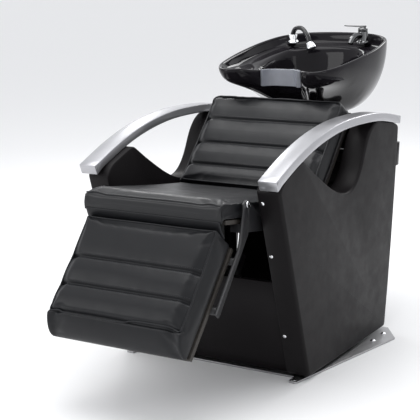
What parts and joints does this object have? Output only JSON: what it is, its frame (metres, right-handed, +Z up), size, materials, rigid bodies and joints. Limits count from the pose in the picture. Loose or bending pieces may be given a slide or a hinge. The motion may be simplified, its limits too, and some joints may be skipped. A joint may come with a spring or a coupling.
{
  "type": "shampoo backwash unit",
  "caption": "Reclined salon seat with powered legrest, arched armrests on padded side panels, and a tilting glazed basin with mixer and hand shower behind the backrest.",
  "frame": {"origin": "on the floor, under the middle of the unit's bounding box", "axes": "+Z up, -Y towards the legrest and the sitter's feet, +Y towards the basin, +X to the left hand of a person sitting in it"},
  "size_m": [0.788, 1.4194, 0.9615],
  "materials": {
    "seat_leather": "black grained upholstery leather with piping and sewn channels",
    "legrest_leather": "black grained upholstery leather with piping and sewn channels",
    "panel_leather": "dark charcoal upholstery leather stretched over a shell",
    "rear_laminate": "charcoal laminate",
    "silver_paint": "satin silver lacquer",
    "stainless": "brushed stainless steel",
    "chrome": "polished chrome",
    "shower_shell": "glossy black handle with a chromed head",
    "ceramic_glaze": "deep black glazed ceramic",
    "neck_gel": "soft grey gel",
    "frame_steel": "black powder-coated steel",
    "plywood": "black-stained plywood",
    "black_plastic": "moulded black plastic"
  },
  "bodies": {
    "root": {"base_plate": "stainless", "chassis_rail_left": "frame_steel", "chassis_rail_right": "frame_steel", "chassis_crossbar": "frame_steel", "seat_bearer_left": "frame_steel", "seat_bearer_right": "frame_steel", "frame_post_front_left": "frame_steel", "frame_post_front_right": "frame_steel", "frame_post_rear_left": "frame_steel", "frame_post_rear_right": "frame_steel", "rear_beam": "frame_steel", "seat_board": "plywood", "seat_cushion": "seat_leather", "back_cushion": "seat_leather", "back_board": "plywood", "armrest_left": "silver_paint", "armrest_right": "silver_paint", "side_panel_left": "panel_leather", "side_panel_right": "panel_leather", "kick_panel": "panel_leather", "rear_stretcher": "rear_laminate", "door_hinge_rod": "frame_steel", "pivot_plate_left": "frame_steel", "pivot_plate_right": "frame_steel", "pivot_pin_left": "chrome", "pivot_pin_right": "chrome", "actuator_bracket": "frame_steel", "actuator_pivot_pin": "chrome", "actuator_beam": "frame_steel", "power_supply": "black_plastic", "power_inlet": "black_plastic", "bowl_arm": "frame_steel", "tilt_bracket": "frame_steel", "tilt_pin": "chrome"},
    "legrest": {"legrest_cushion": "legrest_leather", "legrest_board": "plywood", "legrest_crosstube_upper": "frame_steel", "legrest_crosstube_lower": "frame_steel", "legrest_arm_left": "frame_steel", "legrest_arm_right": "frame_steel", "lift_lever": "frame_steel"},
    "actuator_barrel": {"actuator_tube": "stainless", "actuator_gearbox": "black_plastic", "actuator_motor": "black_plastic"},
    "actuator_ram": {"actuator_rod": "chrome", "actuator_rod_pin": "chrome"},
    "basin": {"bowl": "ceramic_glaze", "neck_rest": "neck_gel", "bowl_cradle": "frame_steel", "drain_flange": "chrome", "drain_tailpiece": "black_plastic", "mixer_body": "chrome", "shower_holder": "chrome"},
    "clamp_knob": {"tilt_clamp_knob": "black_plastic"},
    "mixer_turret": {"mixer_cartridge": "chrome"},
    "mixer_handle": {"mixer_lever": "chrome"},
    "shower": {"hand_shower": "shower_shell"},
    "hair_strainer": {"strainer": "chrome"},
    "rear_door": {"service_door": "rear_laminate"},
    "door_knob": {"door_latch": "chrome"}
  },
  "joints": [
    {"name": "legrest_lift", "type": "hinge", "parent": "root", "child": "legrest", "pos_m": [0, -0.39026, 0.56], "axis": [-1, 0, 0], "range_deg": [-37, 50]},
    {"name": "actuator_tilt", "type": "hinge", "parent": "root", "child": "actuator_barrel", "pos_m": [0, -0.05626, 0.24], "axis": [1, 0, 0], "range_deg": [-4, 5.5]},
    {"name": "actuator_extend", "type": "slide", "parent": "actuator_barrel", "child": "actuator_ram", "axis": [0, -0.826, 0.5636], "range_m": [-0.067, 0.09]},
    {"name": "bowl_tilt", "type": "hinge", "parent": "root", "child": "basin", "pos_m": [0, 0.44574, 0.64], "axis": [-1, 0, 0], "range_deg": [0, 18]},
    {"name": "tilt_clamp_turn", "type": "hinge", "parent": "root", "child": "clamp_knob", "pos_m": [0.069, 0.44574, 0.64], "axis": [1, 0, 0], "range_deg": [0, 180]},
    {"name": "mixer_turn", "type": "hinge", "parent": "basin", "child": "mixer_turret", "pos_m": [0.104, 0.65374, 0.94611], "axis": [0, 0, 1], "range_deg": [-45, 45]},
    {"name": "mixer_lift", "type": "hinge", "parent": "mixer_turret", "child": "mixer_handle", "pos_m": [0.116, 0.65374, 0.95551], "axis": [0, 1, 0], "range_deg": [0, 22]},
    {"name": "hand_shower_lift", "type": "slide", "parent": "basin", "child": "shower", "axis": [0, 0, 1], "range_m": [0, 0.12]},
    {"name": "strainer_lift", "type": "slide", "parent": "basin", "child": "hair_strainer", "axis": [0, 0, 1], "range_m": [0, 0.06]},
    {"name": "service_door_drop", "type": "hinge", "parent": "root", "child": "rear_door", "pos_m": [0, 0.34324, 0.064], "axis": [-1, 0, 0], "range_deg": [0, 80]},
    {"name": "door_latch_turn", "type": "hinge", "parent": "rear_door", "child": "door_knob", "pos_m": [0, 0.41912, 0.46], "axis": [0, 1, 0], "range_deg": [0, 90]}
  ],
  "couplings": [
    {"joint": "actuator_tilt", "follows": "legrest_lift", "ratio": 0.102},
    {"joint": "actuator_extend", "follows": "legrest_lift", "m_per_rad": 0.1008}
  ]
}
